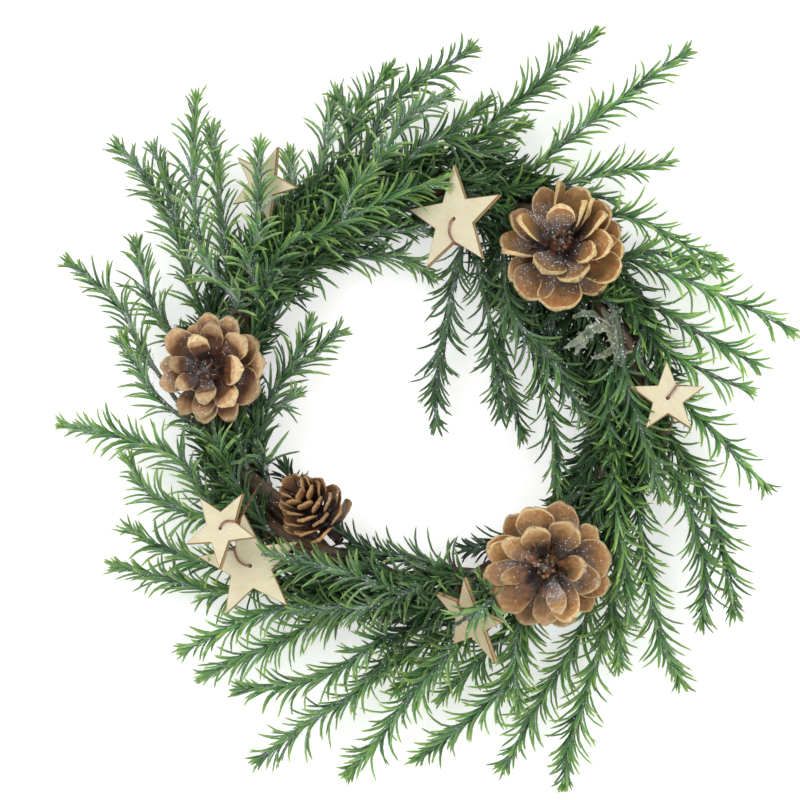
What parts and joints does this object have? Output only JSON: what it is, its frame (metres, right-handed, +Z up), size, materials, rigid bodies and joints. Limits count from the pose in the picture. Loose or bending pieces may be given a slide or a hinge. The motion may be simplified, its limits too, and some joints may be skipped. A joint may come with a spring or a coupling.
{
  "type": "pine wreath",
  "caption": "Round pine wreath on twisted vine canes, with frosted needle sprays, open pine cones and wooden stars on wires.",
  "frame": {"origin": "middle of the wreath's outline seen from above, on the surface it lies on", "axes": "+Z up out of the wreath's face, +Y towards the wreath's top, +X towards its right, seen from above"},
  "size_m": [0.344, 0.3543, 0.0551],
  "materials": {
    "bark": "rough brown bark",
    "binding_wire": "red-brown paper-covered wire",
    "cone_wood": "woody scales with pale rims and glitter",
    "plywood": "bare birch plywood with browned cut edges",
    "star_wire": "rust-brown lacquered wire",
    "lichen": "dull grey-green",
    "needle_plastic": "semi-matt moulded green with silver glitter"
  },
  "bodies": {
    "root": {"cane_1": "bark", "cane_2": "bark", "cane_3": "bark", "binding_wire_1": "binding_wire", "binding_wire_2": "binding_wire", "binding_wire_3": "binding_wire", "cone_top_right": "cone_wood", "cone_bottom_right": "cone_wood", "cone_left": "cone_wood", "cone_small": "cone_wood", "star_top": "plywood", "star_left_front": "plywood", "star_left_back": "plywood", "star_right": "plywood", "star_bottom": "plywood", "star_top_left": "plywood", "star_top_wire": "star_wire", "star_left_front_wire": "star_wire", "star_left_back_wire": "star_wire", "star_right_wire": "star_wire", "star_bottom_wire": "star_wire", "star_top_left_wire": "star_wire", "lichen_tuft": "lichen", "left_high": "needle_plastic", "left_short": "needle_plastic", "left_tall": "needle_plastic", "left_spire": "needle_plastic", "star_left_front_spray": "needle_plastic", "left_top": "needle_plastic", "top_left": "needle_plastic", "top_sweep": "needle_plastic", "top_frosted": "needle_plastic", "top_bright": "needle_plastic", "inner_top_left": "needle_plastic", "top_long": "needle_plastic", "top_short": "needle_plastic", "top_right_long": "needle_plastic", "right_top": "needle_plastic", "right_high": "needle_plastic", "right_wide": "needle_plastic", "right_mid": "needle_plastic", "right_low": "needle_plastic", "right_down": "needle_plastic", "right_lower": "needle_plastic", "right_front": "needle_plastic", "inner_right": "needle_plastic", "right_short": "needle_plastic", "low_right_long": "needle_plastic", "low_right": "needle_plastic", "low_mid": "needle_plastic", "low_left_long": "needle_plastic", "low_sweep": "needle_plastic", "low_left": "needle_plastic", "left_bottom": "needle_plastic", "left_far": "needle_plastic", "inner_left": "needle_plastic", "inner_top_drop": "needle_plastic", "inner_right_drop": "needle_plastic", "low_front": "needle_plastic", "inner_low": "needle_plastic"}
  },
  "joints": []
}
